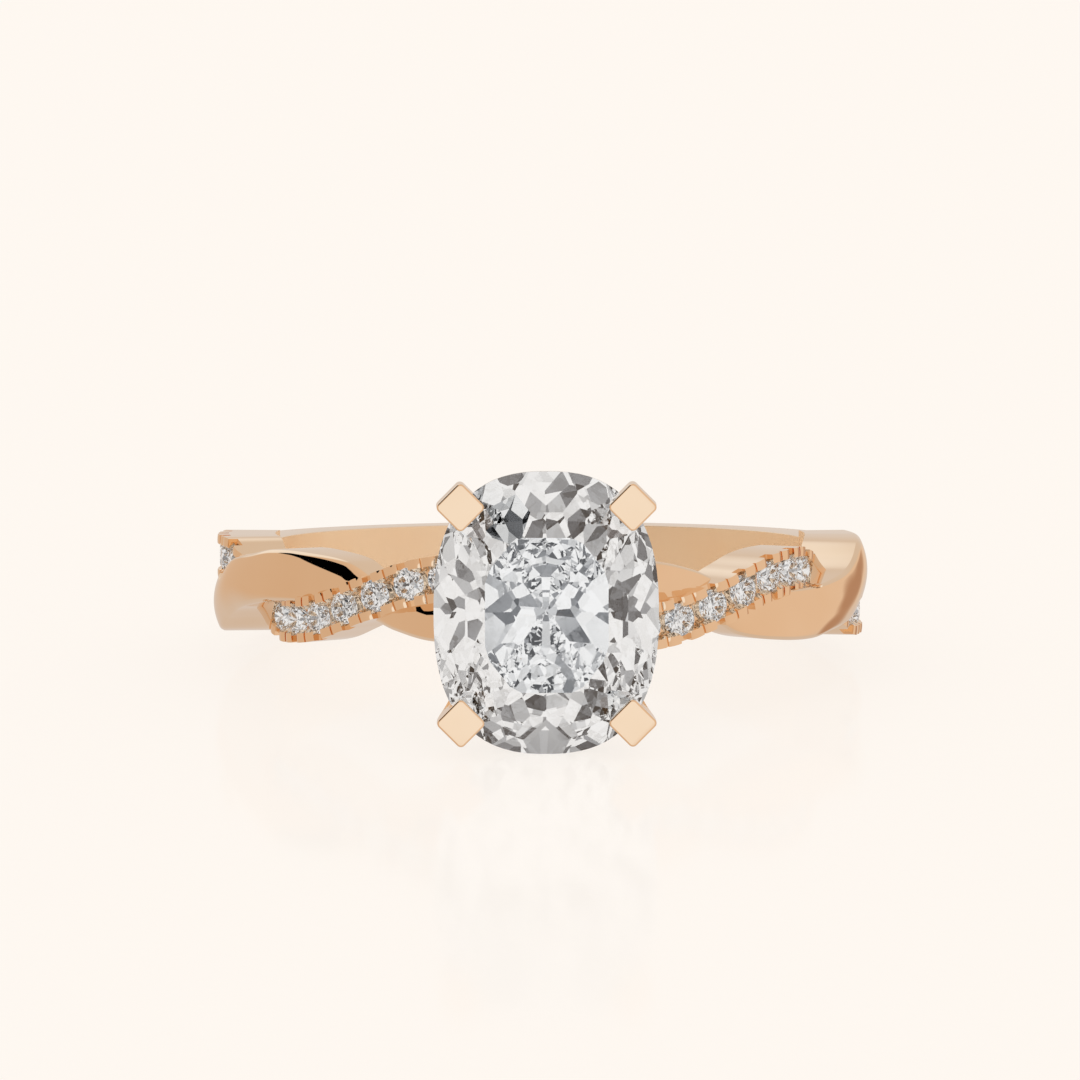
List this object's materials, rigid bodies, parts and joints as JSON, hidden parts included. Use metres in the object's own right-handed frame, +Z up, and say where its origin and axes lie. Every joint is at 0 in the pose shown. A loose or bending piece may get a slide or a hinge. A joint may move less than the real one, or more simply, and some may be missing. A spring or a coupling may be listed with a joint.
{
  "type": "twisted shank ring",
  "caption": "Finger ring whose split shank twists on either side of a claw head; rounded strands cross stone-set ones, and a long cushion stone stands in the head.",
  "frame": {"origin": "middle of the ring's plan on the surface that it rests on", "axes": "-Y from the ring towards its centre stone, +Z up from the surface; the finger hole leans a few degrees from Z because the ring rests on the end of its stone and the back edge of its shank"},
  "size_m": [0.0208, 0.0252, 0.0082],
  "materials": {
    "rose_gold": "polished rose gold",
    "clear_stone": "facetted and polished, colourless"
  },
  "bodies": {
    "root": {"shank_and_head": "rose_gold", "centre_stone": "clear_stone", "pave_left_1": "clear_stone", "pave_left_2": "clear_stone", "pave_left_3": "clear_stone", "pave_left_4": "clear_stone", "pave_left_5": "clear_stone", "pave_left_6": "clear_stone", "pave_left_7": "clear_stone", "pave_left_10": "clear_stone", "pave_left_11": "clear_stone", "pave_left_12": "clear_stone", "pave_left_13": "clear_stone", "pave_right_1": "clear_stone", "pave_right_2": "clear_stone", "pave_right_3": "clear_stone", "pave_right_4": "clear_stone", "pave_right_5": "clear_stone", "pave_right_6": "clear_stone", "pave_right_7": "clear_stone", "pave_right_10": "clear_stone", "pave_right_11": "clear_stone", "pave_right_12": "clear_stone", "pave_right_13": "clear_stone"}
  },
  "joints": []
}
